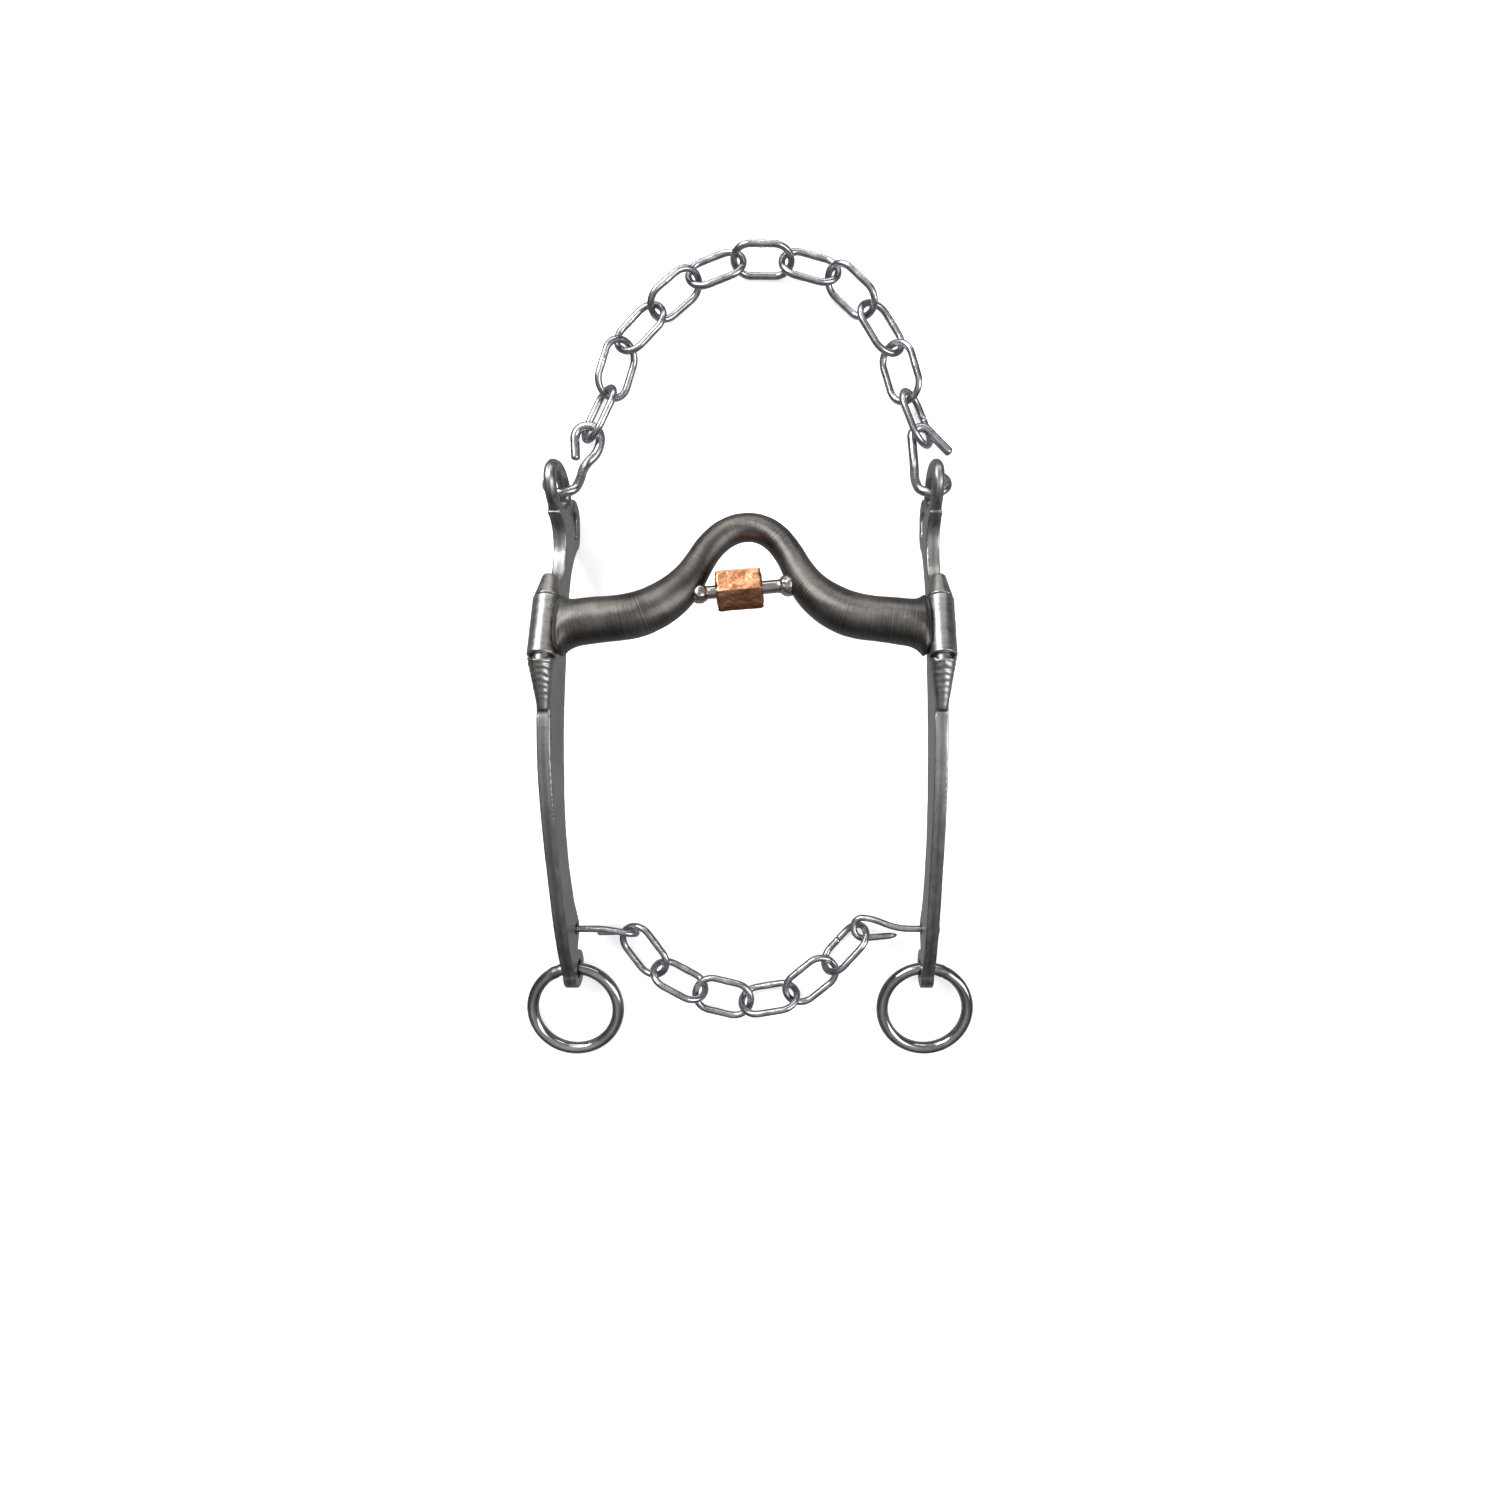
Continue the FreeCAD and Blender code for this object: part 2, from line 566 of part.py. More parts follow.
doc.recompute()
for item in doc.Objects:
    if {"Invalid", "Error"} & set(item.State):
        raise RuntimeError(f"{item.Label} did not build: {item.State}")
for item in nodes:
    if item.Shape.isNull() or not item.Shape.isValid() or len(item.Shape.Solids) != 1:
        raise RuntimeError(f"{item.Label} is not one valid solid")

os.makedirs("parts", exist_ok=True)
for item in nodes:
    item.Shape.exportStep(os.path.join("parts", f"{item.Label}.step"))
    print(f"{item.Label}: {item.Shape.Volume:.1f} mm3")
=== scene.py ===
"""Looks of the loose-cheek curb bit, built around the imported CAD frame."""
import json
import math

import bmesh
import bpy
import numpy as np
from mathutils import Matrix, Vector, noise

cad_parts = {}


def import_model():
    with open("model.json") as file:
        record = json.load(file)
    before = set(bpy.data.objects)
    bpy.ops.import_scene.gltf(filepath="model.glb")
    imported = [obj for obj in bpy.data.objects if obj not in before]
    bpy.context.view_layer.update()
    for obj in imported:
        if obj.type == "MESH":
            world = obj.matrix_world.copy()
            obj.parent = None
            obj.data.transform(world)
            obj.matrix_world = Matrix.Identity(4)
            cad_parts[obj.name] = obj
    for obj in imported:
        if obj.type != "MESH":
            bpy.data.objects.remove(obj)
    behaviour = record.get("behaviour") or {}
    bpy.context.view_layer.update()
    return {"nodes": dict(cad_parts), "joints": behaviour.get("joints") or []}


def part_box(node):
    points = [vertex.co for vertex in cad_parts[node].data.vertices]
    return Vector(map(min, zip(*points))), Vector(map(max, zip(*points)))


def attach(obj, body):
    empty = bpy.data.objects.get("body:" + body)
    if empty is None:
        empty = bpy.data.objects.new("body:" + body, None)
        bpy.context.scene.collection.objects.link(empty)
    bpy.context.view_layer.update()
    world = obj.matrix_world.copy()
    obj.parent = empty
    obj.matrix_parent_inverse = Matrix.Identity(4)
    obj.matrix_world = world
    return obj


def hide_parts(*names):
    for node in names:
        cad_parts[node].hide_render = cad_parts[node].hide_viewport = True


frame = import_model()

MM = 0.001
JOINTS = {joint["name"]: joint for joint in frame["joints"]}
SIDES = {"left": -1, "right": 1}


def joint_at(name):
    return np.array(JOINTS[name]["pos_m"], float)


# The swivel pins' line, shared by both cheeks and by the mouthpiece's own plane.
ALONG_PIN = np.array(JOINTS["cheek_left_swivel"]["axis"], float)
BEHIND_PIN = np.cross(ALONG_PIN, [1.0, 0.0, 0.0])
PIN_MIDDLE = joint_at("cheek_right_swivel") * [0, 1, 1]
HALF_SPACING = joint_at("cheek_right_swivel")[0]
SLEEVE_LENGTH = 21.0 * MM
SLEEVE_RADIUS = 4.8 * MM
# The bridle eye in its shank's plane: middle as Y and Z, half sizes of the opening, and the rim.
EYE_MIDDLE = (PIN_MIDDLE[1] + 49.2 * MM, 22.6 * MM)
EYE_HALF = (8.2 * MM, 5.1 * MM)
EYE_RIM = 4.3 * MM
EYE_TILT = math.radians(16)
PLATE = 4.6 * MM
RING_WIRE = 4.3 * MM
RING_SIDES = 36
# The curb hooks' eyes lie in the plane of X and this direction, which slopes away and down.
HOOK_OUT = np.array([0.0, 0.741658, -0.670779])
HOOK_EYE = 11.4 * MM
HOOK_STEP = math.radians(40)
CURB_HOOK_WIRE = 3.3 * MM
TIE_HOOK_WIRE = 2.4 * MM
HEAD_GAP = 0.6 * MM
LINK_WIRE, LINK_LENGTH, LINK_WIDTH = 2.5 * MM, 23.2 * MM, 15.0 * MM
LINK_POINTS = 150
LINK_SIDES = 22
# How far apart the noise of two seeds is taken.
SEED_SHIFT = 17.3
# A direction that no wire sets out along, to start the rings of a tube from.
ASIDE = [0.31, 0.17, 0.93]


def pin_frame(points):
    """Distance up the pin's line, and behind it, of points of the row frame."""
    offset = points - PIN_MIDDLE
    return offset @ ALONG_PIN, offset @ BEHIND_PIN


def unit(vector):
    vector = np.asarray(vector, float)
    return vector / np.linalg.norm(vector)


def smooth_step(low, high, value):
    share = np.clip((value - low) / (high - low), 0.0, 1.0)
    return share * share * (3 - 2 * share)


def bell(value, width):
    return np.exp(-(value / width) ** 2)


def ripple(points, scale, seed):
    """Smooth noise from -1 to 1 at each point."""
    shifted = points / scale + seed * SEED_SHIFT
    return np.array([noise.noise(Vector(p)) for p in shifted])


# --- mesh helpers -----------------------------------------------------------------------------


def mesh_object(name, vertices, faces):
    mesh = bpy.data.meshes.new(name)
    mesh.from_pydata([tuple(v) for v in vertices], [], faces)
    mesh.validate()
    mesh.polygons.foreach_set("use_smooth", [True] * len(mesh.polygons))
    piece = bpy.data.objects.new(name, mesh)
    bpy.context.scene.collection.objects.link(piece)
    return piece


def vertices_of(piece):
    flat = np.zeros(len(piece.data.vertices) * 3)
    piece.data.vertices.foreach_get("co", flat)
    return flat.reshape(-1, 3)


def normals_of(piece):
    flat = np.zeros(len(piece.data.vertices) * 3)
    piece.data.vertices.foreach_get("normal", flat)
    return flat.reshape(-1, 3)


def move_vertices(piece, points):
    piece.data.vertices.foreach_set("co", np.asarray(points, float).ravel())
    piece.data.update()


def push(piece, distance):
    """Moves each vertex along its normal."""
    move_vertices(piece, vertices_of(piece) + normals_of(piece) * distance[:, None])


def keep_value(piece, name, values):
    """Stores a number per vertex for the materials to read."""
    attribute = piece.data.attributes.new(name, "FLOAT", "POINT")
    attribute.data.foreach_set("value", np.asarray(values, np.float32))


def apply_modifiers(piece):
    graph = bpy.context.evaluated_depsgraph_get()
    mesh = bpy.data.meshes.new_from_object(piece.evaluated_get(graph))
    piece.modifiers.clear()
    old, piece.data = piece.data, mesh
    bpy.data.meshes.remove(old)


def soft_copy(node, voxel, rounds):
    """A fine, edge-rounded copy of a CAD node's mesh."""
    mesh = frame["nodes"][node].data.copy()
    cleaner = bmesh.new()
    cleaner.from_mesh(mesh)
    bmesh.ops.remove_doubles(cleaner, verts=cleaner.verts, dist=0.002 * MM)
    cleaner.to_mesh(mesh)
    cleaner.free()
    mesh.materials.clear()
    piece = bpy.data.objects.new(f"{node}_worn", mesh)
    bpy.context.scene.collection.objects.link(piece)
    remesh = piece.modifiers.new("remesh", "REMESH")
    remesh.mode = "VOXEL"
    remesh.voxel_size = voxel
    smooth = piece.modifiers.new("smooth", "SMOOTH")
    smooth.factor = 0.5
    smooth.iterations = rounds
    apply_modifiers(piece)
    piece.data.polygons.foreach_set("use_smooth", [True] * len(piece.data.polygons))
    return piece


def tube(name, path, radius, sides=24, closed=False):
    """A round wire along a path; radius is a number or one number for each point."""
    path = np.asarray(path, float)
    count = len(path)
    radius = np.broadcast_to(np.asarray(radius, float), (count,))
    ahead = np.roll(path, -1, axis=0) - path if closed else np.diff(path, axis=0, append=path[-1:])
    if closed:
        tangent = ahead + np.roll(ahead, 1, axis=0)
    else:
        ahead[-1] = ahead[-2]
        tangent = ahead + np.vstack([ahead[:1], ahead[:-1]])
    tangent = np.array([unit(t) for t in tangent])
    side = unit(np.cross(tangent[0], ASIDE))
    frames = []
    for t in tangent:
        side = unit(side - t * (side @ t))
        frames.append((side, np.cross(t, side)))
    twist = 0.0
    if closed:
        back = unit(frames[-1][0] - tangent[0] * (frames[-1][0] @ tangent[0]))
        twist = math.atan2(back @ frames[0][1], back @ frames[0][0])
    vertices, along = [], []
    travelled = 0.0
    for number, (point, (a, b), r) in enumerate(zip(path, frames, radius)):
        turn = -twist * number / count
        for step in range(sides):
            angle = 2 * math.pi * step / sides + turn
            vertices.append(point + (a * math.cos(angle) + b * math.sin(angle)) * r)
            along.append(travelled)
        travelled += np.linalg.norm(ahead[number])
    faces = []
    for ring in range(count if closed else count - 1):
        here, there = ring * sides, (ring + 1) % count * sides
        for step in range(sides):
            after = (step + 1) % sides
            faces.append((here + step, here + after, there + after, there + step))
    if not closed:
        for ring, turned in ((0, True), (count - 1, False)):
            corners = [ring * sides + step for step in range(sides)]
            faces.append(corners[::-1] if turned else corners)
    piece = mesh_object(name, vertices, faces)
    keep_value(piece, "along", along)
    return piece


def rounded_path(corners, own_run=0.98, shared_run=0.49, spacing=0.35 * MM):
    """Points along straight runs whose corners are replaced by the largest arcs that fit."""
    corners = [np.asarray(corner, float) for corner in corners]
    points = []
    share = own_run
    start = corners[0]

    def straight(first, last):
        steps = max(1, int(np.linalg.norm(last - first) / spacing))
        points.extend(first + (last - first) * s / steps for s in range(steps))

    for before, corner, after in zip(corners, corners[1:], corners[2:]):
        back, ahead = unit(before - corner), unit(after - corner)
        turn = math.pi - math.acos(np.clip(back @ ahead, -1, 1))
        room = min(share * np.linalg.norm(corner - before),
                   shared_run * np.linalg.norm(after - corner))
        share = shared_run
        radius = room / math.tan(turn / 2)
        centre = corner + unit(back + ahead) * radius / math.cos(turn / 2)
        first, last = corner + back * room, corner + ahead * room
        straight(start, first)
        steps = max(6, int(radius * turn / spacing))
        out, across = unit(first - centre), -back
        for step in range(steps):
            angle = turn * step / steps
            points.append(centre + (out * math.cos(angle) + across * math.sin(angle)) * radius)
        start = last
    straight(start, corners[-1])
    points.append(corners[-1])
    return np.array(points)


# --- materials --------------------------------------------------------------------------------


class Finish:
    """A procedural metal: small helpers for wiring its nodes."""

    def __init__(self, name, roughness):
        self.material = bpy.data.materials.new(name)
        self.material.use_nodes = True
        self.tree = self.material.node_tree
        self.surface = self.tree.nodes["Principled BSDF"]
        self.surface.inputs["Metallic"].default_value = 1.0
        self.surface.inputs["Roughness"].default_value = roughness
        self.coordinates = self.tree.nodes.new("ShaderNodeTexCoord").outputs["Object"]

    def node(self, kind, links=None, **settings):
        made = self.tree.nodes.new(kind)
        for name, value in settings.items():
            if name in made.inputs:
                made.inputs[name].default_value = value
            else:
                setattr(made, name, value)
        for name, source in (links or {}).items():
            self.tree.links.new(source, made.inputs[name])
        return made

    def stretched(self, x=1.0, y=1.0, z=1.0):
        mapping = self.node("ShaderNodeMapping", {"Vector": self.coordinates})
        mapping.inputs["Scale"].default_value = (x, y, z)
        return mapping.outputs["Vector"]

    def noise(self, scale, detail=4.0, vector=None, roughness=0.55):
        made = self.node("ShaderNodeTexNoise", {"Vector": vector or self.coordinates},
                         Scale=scale, Detail=detail, Roughness=roughness)
        return made.outputs["Fac"]

    def ramp(self, source, stops):
        """Maps a value through colours or greys: stops are (place, colour or grey)."""
        made = self.node("ShaderNodeValToRGB", {"Fac": source})
        elements = made.color_ramp.elements
        while len(elements) < len(stops):
            elements.new(0.5)
        for element, (place, colour) in zip(elements, stops):
            element.position = place
            colour = (colour,) * 3 if isinstance(colour, (int, float)) else colour
            element.color = (*colour, 1.0)
        return made.outputs["Color"]

    def mix(self, share, first, second):
        made = self.tree.nodes.new("ShaderNodeMix")
        made.data_type = "RGBA"
        for socket, value in ((made.inputs[0], share), (made.inputs[6], first),
                              (made.inputs[7], second)):
            if isinstance(value, bpy.types.NodeSocket):
                self.tree.links.new(value, socket)
            elif isinstance(value, (int, float)):
                socket.default_value = value
            else:
                socket.default_value = (*value, 1.0)
        return made.outputs[2]

    def math(self, operation, first, second=0.0):
        made = self.tree.nodes.new("ShaderNodeMath")
        made.operation = operation
        for socket, value in zip(made.inputs, (first, second)):
            if isinstance(value, bpy.types.NodeSocket):
                self.tree.links.new(value, socket)
            else:
                socket.default_value = value
        return made.outputs[0]

    def attribute(self, name):
        return self.node("ShaderNodeAttribute", attribute_name=name).outputs["Fac"]

    def colour(self, source):
        self.tree.links.new(source, self.surface.inputs["Base Color"])

    def roughness(self, source):
        self.tree.links.new(source, self.surface.inputs["Roughness"])

    def bump(self, layers):
        """Layers are (height source, depth in metres); the first is the coarsest."""
        normal = None
        for source, depth in layers:
            links = {"Height": source}
            if normal is not None:
                links["Normal"] = normal
            normal = self.node("ShaderNodeBump", links, Strength=1.0,
                               Distance=depth).outputs["Normal"]
        self.tree.links.new(normal, self.surface.inputs["Normal"])


def iron_finish():
    """Bare forged bar, ground crosswise, with brown heat tint."""
    finish = Finish("ground_iron", 0.42)
    along = finish.attribute("along")
    stripe = finish.node("ShaderNodeTexNoise", {"W": along}, noise_dimensions="1D",
                         Scale=2600.0, Detail=3.0, Roughness=0.8).outputs["Fac"]
    cloud = finish.noise(90.0, 5.0)
    speck = finish.noise(900.0, 3.0)
    base = finish.ramp(cloud, [(0.30, (0.055, 0.049, 0.044)), (0.55, (0.11, 0.102, 0.094)),
                               (0.75, (0.175, 0.165, 0.153))])
    base = finish.mix(finish.ramp(stripe, [(0.42, 0.0), (0.68, 0.55)]), base,
                      (0.24, 0.228, 0.213))
    base = finish.mix(finish.ramp(speck, [(0.60, 0.0), (0.72, 0.5)]), base, (0.06, 0.05, 0.04))
    tint = finish.attribute("heat")
    base = finish.mix(finish.math("MULTIPLY", tint, 0.85), base, (0.125, 0.095, 0.055))
    finish.colour(base)
    finish.roughness(finish.ramp(finish.mix(0.5, stripe, cloud), [(0.3, 0.30), (0.7, 0.52)]))
    finish.bump([(cloud, 0.15 * MM), (stripe, 0.06 * MM)])
    return finish.material


def steel_finish(name, dark, light, rough, brush):
    """Satin steel, brushed along one direction, browner along its edges."""
    finish = Finish(name, rough)
    lines = finish.noise(60.0, 6.0, finish.stretched(*brush), 0.7)
    cloud = finish.noise(70.0, 4.0)
    pits = finish.noise(1100.0, 2.0)
    base = finish.ramp(lines, [(0.30, dark), (0.70, light)])
    base = finish.mix(finish.ramp(cloud, [(0.42, 0.0), (0.72, 0.45)]), base,
                      (0.21, 0.195, 0.18))
    base = finish.mix(finish.attribute("edge"), base, (0.17, 0.145, 0.13))
    base = finish.mix(finish.ramp(pits, [(0.62, 0.0), (0.74, 0.6)]), base, (0.10, 0.09, 0.08))
    finish.colour(base)
    finish.roughness(finish.ramp(lines, [(0.3, rough - 0.06), (0.75, rough + 0.12)]))
    finish.bump([(cloud, 0.08 * MM), (lines, 0.03 * MM), (pits, 0.02 * MM)])
    return finish.material


def zinc_finish(name, dark, light, rough):
    """Bright zinc-plated wire, its butt weld a paler bead with a dark groove."""
    finish = Finish(name, rough)
    cloud = finish.noise(220.0, 4.0)
    fine = finish.noise(1500.0, 3.0)
    base = finish.ramp(cloud, [(0.32, dark), (0.68, light)])
    base = finish.mix(finish.ramp(fine, [(0.58, 0.0), (0.75, 0.5)]), base, dark)
    base = finish.mix(finish.attribute("bead"), base, (0.80, 0.82, 0.84))
    base = finish.mix(finish.attribute("seam"), base, (0.06, 0.06, 0.065))
    finish.colour(base)
    finish.roughness(finish.ramp(fine, [(0.3, rough - 0.05), (0.8, rough + 0.14)]))
    finish.bump([(cloud, 0.02 * MM), (fine, 0.006 * MM)])
    return finish.material


def ring_finish():
    """Polished ring with fine handling scratches."""
    finish = Finish("polished_ring", 0.14)
    lines = finish.noise(500.0, 4.0, finish.stretched(1.0, 0.25, 1.0))
    cloud = finish.noise(120.0, 3.0)
    base = finish.ramp(cloud, [(0.35, (0.27, 0.26, 0.252)), (0.7, (0.46, 0.45, 0.44))])
    base = finish.mix(finish.attribute("seam"), base, (0.13, 0.11, 0.10))
    finish.colour(base)
    rough = finish.ramp(lines, [(0.35, 0.10), (0.75, 0.26)])
    finish.roughness(finish.mix(finish.attribute("seam"), rough, (0.5, 0.5, 0.5)))
    finish.bump([(lines, 0.008 * MM)])
    return finish.material


def copper_finish():
    """Copper worn bright on the high spots, red-brown in the hollows, and darkened on its front,
    lower facets by painted shade.
    """
    finish = Finish("worn_copper", 0.34)
    cloud = finish.noise(230.0, 5.0)
    fine = finish.noise(1300.0, 4.0)
    base = finish.ramp(cloud, [(0.30, (0.40, 0.165, 0.085)), (0.50, (0.62, 0.29, 0.155)),
                               (0.72, (0.78, 0.43, 0.26))])
    base = finish.mix(finish.ramp(fine, [(0.55, 0.0), (0.72, 0.6)]), base, (0.30, 0.11, 0.06))
    # Painted shade: facets that face the front and down are darkened to red-brown.
    base = finish.mix(finish.attribute("painted_shade"), base, (0.21, 0.075, 0.045))
    base = finish.mix(finish.attribute("seam"), base, (0.16, 0.06, 0.035))
    finish.colour(base)
    finish.roughness(finish.ramp(fine, [(0.3, 0.24), (0.75, 0.46)]))
    finish.bump([(cloud, 0.12 * MM), (fine, 0.03 * MM)])
    return finish.material


IRON = iron_finish()
SHANK = steel_finish("satin_shank", (0.25, 0.246, 0.24), (0.42, 0.414, 0.405), 0.36,
                     (9.0, 0.5, 9.0))
SLEEVE = steel_finish("turned_sleeve", (0.30, 0.296, 0.29), (0.50, 0.494, 0.485), 0.33,
                      (1.0, 9.0, 9.0))
WELD = steel_finish("weld_metal", (0.28, 0.27, 0.25), (0.52, 0.50, 0.47), 0.24,
                    (4.0, 4.0, 4.0))
ZINC = zinc_finish("zinc_wire", (0.30, 0.312, 0.325), (0.52, 0.535, 0.555), 0.26)
RING = ring_finish()
COPPER = copper_finish()


def finish_piece(piece, material, slot, body, *nodes):
    piece.data.materials.clear()
    piece.data.materials.append(material)
    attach(piece, body)
    if nodes:
        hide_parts(*nodes)


def blank_values(piece, *names):
    for name in names:
        keep_value(piece, name, np.zeros(len(piece.data.vertices)))


# --- mouthpiece -------------------------------------------------------------------------------


# The bar's centreline on one side: distance out from the middle, and height up the pins' line.
BAR_LINE = np.array([(0, 38.5), (6.9, 36.4), (12.8, 30.3), (16.9, 22.5), (21.3, 15.0),
                     (27.2, 9.3), (35.2, 5.0), (44.5, 3.3), (56.4, 1.5), (62.0, 1.0)]) * MM
BAR_POINTS = 400
# How many points on each side the bent line is smoothed over.
BAR_BLUR = 20


def bar_travel(x, up):
    """How far along the bent bar each point lies."""
    corners = np.vstack([BAR_LINE[:0:-1] * [-1, 1], BAR_LINE])
    steps = np.linspace(0, len(corners) - 1, BAR_POINTS)
    line = np.column_stack([np.interp(steps, range(len(corners)), corners[:, k]) for k in (0, 1)])
    window = np.hanning(2 * BAR_BLUR + 1)
    window = window / window.sum()
    padded = np.vstack([line[:1].repeat(BAR_BLUR, 0), line, line[-1:].repeat(BAR_BLUR, 0)])
    line = np.column_stack([np.convolve(padded[:, k], window, "valid") for k in (0, 1)])
    run = np.concatenate([[0], np.cumsum(np.linalg.norm(np.diff(line, axis=0), axis=1))])
    travelled = np.empty(len(x))
    for number, point in enumerate(zip(x, up)):
        away = line - point
        nearest = np.argmin((away ** 2).sum(axis=1))
        here, there = line[max(nearest - 1, 0)], line[min(nearest + 1, BAR_POINTS - 1)]
        along = unit(there - here)
        travelled[number] = run[nearest] - away[nearest] @ along
    return travelled


def flare_ends(piece):
    """Spreads the bar's ends along the sleeves, with a low bead of weld where they meet."""
    points = vertices_of(piece)
    up, _ = pin_frame(points)
    left = HALF_SPACING - SLEEVE_RADIUS - np.abs(points[:, 0])
    near = smooth_step(9 * MM, -0.5 * MM, left)
    narrowing = 7.5 * MM - 1.9 * MM * smooth_step(3.8 * MM, -0.8 * MM, left)
    middle = 1.2 * MM
    reach = 7.5 * MM + np.where(up < middle, 3.4 * MM, 1.9 * MM) * near ** 2
    share = np.where(left < 9 * MM, reach / narrowing - 1, 0.0)
    bead = bell(left - 1.0 * MM, 0.9 * MM) * 0.25 * MM * (1 + ripple(points, 2 * MM, 11))
    spread = np.clip((up - middle) * share, -3.8 * MM, 3.8 * MM)
    push(piece, bead)
    move_vertices(piece, vertices_of(piece) + spread[:, None] * ALONG_PIN)


def mouthpiece():
    piece = soft_copy("mouthpiece_bar", 0.42 * MM, 6)
    points = vertices_of(piece)
    up, _ = pin_frame(points)
    travelled = bar_travel(points[:, 0], up)
    push(piece, 0.13 * MM * ripple(points, 9 * MM, 1) + 0.05 * MM * ripple(points, 2.5 * MM, 2))
    flare_ends(piece)
    keep_value(piece, "along", travelled)
    spot = PIN_MIDDLE + ALONG_PIN * 24 * MM + np.array([20 * MM, 0, 0])
    heat = bell(np.linalg.norm(points - spot, axis=1), 13 * MM)
    keep_value(piece, "heat", np.clip(heat, 0, 1))
    finish_piece(piece, IRON, "iron", "mouthpiece", "mouthpiece_bar")


def sleeve(side):
    piece = soft_copy(f"sleeve_{side}", 0.3 * MM, 5)
    points = vertices_of(piece)
    push(piece, 0.05 * MM * ripple(points, 4 * MM, 3))
    blank_values(piece, "edge")
    finish_piece(piece, SLEEVE, "sleeve_steel", "mouthpiece", f"sleeve_{side}")


def axle():
    piece = soft_copy("roller_axle", 0.2 * MM, 4)
    points = vertices_of(piece)
    blob = smooth_step(11 * MM, 13 * MM, np.abs(points[:, 0]))
    larger = 0.35 * MM * (points[:, 0] > 0)
    push(piece, blob * (0.28 * MM * ripple(points, 1.6 * MM, 4) + larger))
    blank_values(piece, "edge")
    finish_piece(piece, WELD, "weld_steel", "mouthpiece", "roller_axle")


def roller():
    piece = soft_copy("copper_roller", 0.2 * MM, 4)
    points = vertices_of(piece)
    axis = np.array(JOINTS["roller_turn"]["axis"], float)
    offset = points - joint_at("roller_turn")
    along = offset @ axis
    out = offset - along[:, None] * axis
    far = np.linalg.norm(out, axis=1)
    skin = smooth_step(4.5 * MM, 6.0 * MM, far)
    end = np.abs(along)
    crimp = smooth_step(6.6 * MM, 7.8 * MM, end)
    around = np.arctan2(out @ np.cross(axis, BEHIND_PIN), out @ BEHIND_PIN)
    notch = crimp * np.clip(np.cos(6 * around + 1.3 * np.sign(along)), 0, 1) ** 6
    dents = 0.22 * MM * ripple(points, 3 * MM, 5) + 0.08 * MM * ripple(points, 1.1 * MM, 6)
    push(piece, skin * (dents - 0.42 * MM * crimp - 0.5 * MM * notch - 0.1 * MM))
    keep_value(piece, "seam", skin * np.clip(0.55 * crimp + 0.4 * notch, 0, 1))
    # Painted shade: the skin's facets facing the front and down (towards -Y) are marked to be
    # painted darker.
    keep_value(piece, "painted_shade", 0.8 * skin * smooth_step(0.70, 0.86, -out[:, 1] / far))
    finish_piece(piece, COPPER, "copper", "roller", "copper_roller")


# --- cheeks -----------------------------------------------------------------------------------


def round_eye(piece, side):
    """Gives the rim of the bridle eye a round section, thinner than the plate."""
    points = vertices_of(piece)
    plane = SIDES[side] * HALF_SPACING
    y, z = points[:, 1] - EYE_MIDDLE[0], points[:, 2] - EYE_MIDDLE[1]
    u = y * math.sin(EYE_TILT) + z * math.cos(EYE_TILT)
    v = y * math.cos(EYE_TILT) - z * math.sin(EYE_TILT)
    ring = np.hypot(u / EYE_HALF[0], v / EYE_HALF[1])
    angle = np.arctan2(v / EYE_HALF[1], u / EYE_HALF[0])
    local = np.hypot(EYE_HALF[0] * np.cos(angle), EYE_HALF[1] * np.sin(angle))
    from_hole = (ring - 1) * local
    share = np.clip((from_hole - EYE_RIM / 2) / (EYE_RIM / 2), -1, 1)
    rounding = 0.92 * np.sqrt(1 - 0.86 * share ** 2)
    rounding = np.maximum(rounding, smooth_step(-2 * MM, -10 * MM, y))
    belongs = smooth_step(1.5 * EYE_RIM, EYE_RIM, from_hole) * smooth_step(-13 * MM, -5 * MM, y)
    factor = 1 + (rounding - 1) * belongs
    points[:, 0] = plane + (points[:, 0] - plane) * factor
    move_vertices(piece, points)


def cheek(side):
    piece = soft_copy(f"shank_{side}", 0.4 * MM, 5)
    points = vertices_of(piece)
    along, behind = pin_frame(points)
    weld = smooth_step(-SLEEVE_LENGTH / 2 - 18 * MM, -SLEEVE_LENGTH / 2 - 1 * MM, along)
    weld = weld * (along < -SLEEVE_LENGTH / 2) * (behind < 6 * MM)
    beads = np.sin(along / (0.85 * MM) * math.pi + 2.5 * ripple(points, 3 * MM, 7))
    beads = 0.10 * beads + 0.16 * ripple(points, 1.8 * MM, 13)
    push(piece, weld * MM * beads + 0.06 * MM * ripple(points, 6 * MM, 8))
    round_eye(piece, side)
    across = np.abs(np.abs(points[:, 0]) - HALF_SPACING)
    edge = smooth_step(1.2 * MM, 2.0 * MM, PLATE / 2 - across)
    normal = np.abs(normals_of(piece)[:, 0])
    keep_value(piece, "edge", 0.55 * edge * (1 - normal))
    pin = soft_copy(f"swivel_pin_{side}", 0.25 * MM, 3)
    blank_values(pin, "edge")
    finish_piece(pin, SLEEVE, "pin_steel", f"cheek_{side}", f"swivel_pin_{side}")
    finish_piece(piece, SHANK, "shank_steel", f"cheek_{side}", f"shank_{side}")


